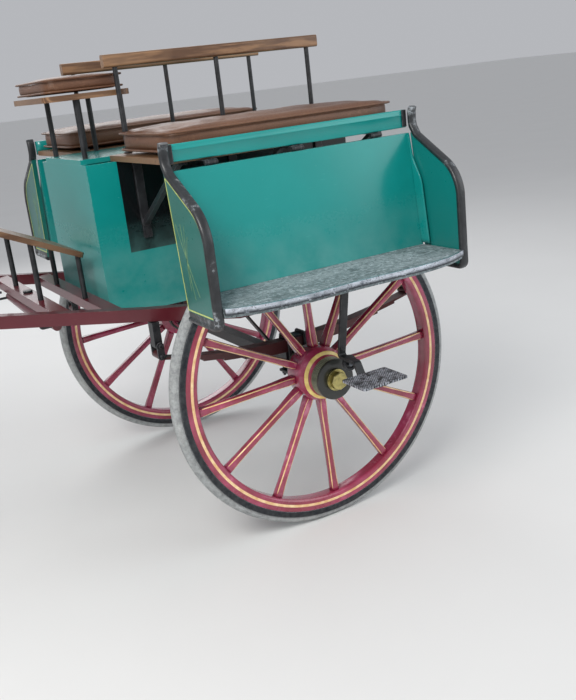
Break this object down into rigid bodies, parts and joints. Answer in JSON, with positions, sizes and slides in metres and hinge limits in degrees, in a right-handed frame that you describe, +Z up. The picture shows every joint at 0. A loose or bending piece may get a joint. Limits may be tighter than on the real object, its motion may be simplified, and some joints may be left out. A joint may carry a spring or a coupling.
{
  "type": "horse-drawn two-wheeled side car",
  "caption": "Horse-drawn two-wheeled side car with outward-facing seats over the wheels, folding footboards, iron steps and a pair of shafts.",
  "frame": {"origin": "on the ground, under the middle of the car's length and width", "axes": "+X forward along the shafts, +Y to the car's left, +Z up"},
  "size_m": [2.8816, 1.9806, 1.62],
  "materials": {
    "crimson_paint": "glossy crimson coach paint with cream lines",
    "tyre_steel": "dull dark steel",
    "solid_rubber": "weathered grey rubber",
    "black_iron": "black painted iron, worn at the edges",
    "cap_brass": "dull brass",
    "spring_steel_red": "red-brown painted steel",
    "dark_red_paint": "dark red coach paint",
    "teal_paint": "teal coach paint, dusty toward the foot",
    "dark_green_paint": "dark green coach paint with yellow lines",
    "worn_grey_board": "worn painted board",
    "nosing_metal": "worn bright strip",
    "tread_iron": "worn chequered iron",
    "varnished_wood": "oiled brown wood",
    "brown_leather": "buttoned brown leather"
  },
  "bodies": {
    "car_body": {"axle": "black_iron", "axle_nuts": "black_iron", "axle_stays": "black_iron", "back_irons": "black_iron", "back_rails": "varnished_wood", "cross_bars": "dark_red_paint", "driver_cushion": "brown_leather", "driver_footrest": "varnished_wood", "driver_irons": "black_iron", "driver_seat": "varnished_wood", "left_cushion": "brown_leather", "left_shaft": "dark_red_paint", "left_spring": "spring_steel_red", "pivots": "black_iron", "right_cushion": "brown_leather", "right_shaft": "dark_red_paint", "right_spring": "spring_steel_red", "seat_boards": "varnished_wood", "seat_irons": "black_iron", "seat_rails": "teal_paint", "spring_clips": "black_iron", "spring_shackles": "black_iron", "well_box": "teal_paint"},
    "left_wheel": {"left_nave": "crimson_paint", "left_spokes": "crimson_paint", "left_felloes": "crimson_paint", "left_tyre_channel": "tyre_steel", "left_rubber_tyre": "solid_rubber", "left_nave_bands": "black_iron", "left_axle_box": "black_iron", "left_hub_cap": "cap_brass"},
    "right_wheel": {"right_nave": "crimson_paint", "right_spokes": "crimson_paint", "right_felloes": "crimson_paint", "right_tyre_channel": "tyre_steel", "right_rubber_tyre": "solid_rubber", "right_nave_bands": "black_iron", "right_axle_box": "black_iron", "right_hub_cap": "cap_brass"},
    "left_footboard_unit": {"left_footboard_panel": "teal_paint", "left_footboard": "worn_grey_board", "left_footboard_nosing": "nosing_metal", "left_wings": "dark_green_paint", "left_wing_edging": "black_iron", "left_hinge_straps": "black_iron", "left_step_iron": "black_iron", "left_step_tread": "tread_iron"},
    "right_footboard_unit": {"right_footboard_panel": "teal_paint", "right_footboard": "worn_grey_board", "right_footboard_nosing": "nosing_metal", "right_wings": "dark_green_paint", "right_wing_edging": "black_iron", "right_hinge_straps": "black_iron", "right_step_iron": "black_iron", "right_step_tread": "tread_iron"},
    "lid": {"well_lid": "teal_paint"},
    "tree": {"swingletree": "dark_red_paint", "swingletree_hooks": "black_iron"},
    "left_prop": {"left_prop_stick": "varnished_wood"},
    "right_prop": {"right_prop_stick": "varnished_wood"}
  },
  "joints": [
    {"name": "left_wheel_turn", "type": "hinge", "parent": "car_body", "child": "left_wheel", "pos_m": [-0.84081, 0.592, 0.535], "axis": [0, 1, 0], "continuous": true},
    {"name": "right_wheel_turn", "type": "hinge", "parent": "car_body", "child": "right_wheel", "pos_m": [-0.84081, -0.592, 0.535], "axis": [0, 1, 0], "continuous": true},
    {"name": "left_footboard_fold", "type": "hinge", "parent": "car_body", "child": "left_footboard_unit", "pos_m": [-0.79831, 0.694, 1.2845], "axis": [1, 0, 0], "range_deg": [0, 170]},
    {"name": "right_footboard_fold", "type": "hinge", "parent": "car_body", "child": "right_footboard_unit", "pos_m": [-0.79831, -0.694, 1.2845], "axis": [-1, 0, 0], "range_deg": [0, 170]},
    {"name": "lid_hinge", "type": "hinge", "parent": "car_body", "child": "lid", "pos_m": [-1.27881, 0, 1.305], "axis": [0, -1, 0], "range_deg": [0, 100]},
    {"name": "swingletree_pivot", "type": "hinge", "parent": "car_body", "child": "tree", "pos_m": [-0.08081, 0, 0.82271], "axis": [0, 0, 1], "range_deg": [-18, 18]},
    {"name": "left_prop_fold", "type": "hinge", "parent": "car_body", "child": "left_prop", "pos_m": [0.80919, 0.34955, 0.9749], "axis": [0, 1, 0], "range_deg": [0, 80]},
    {"name": "right_prop_fold", "type": "hinge", "parent": "car_body", "child": "right_prop", "pos_m": [0.80919, -0.34955, 0.9749], "axis": [0, 1, 0], "range_deg": [0, 80]}
  ]
}
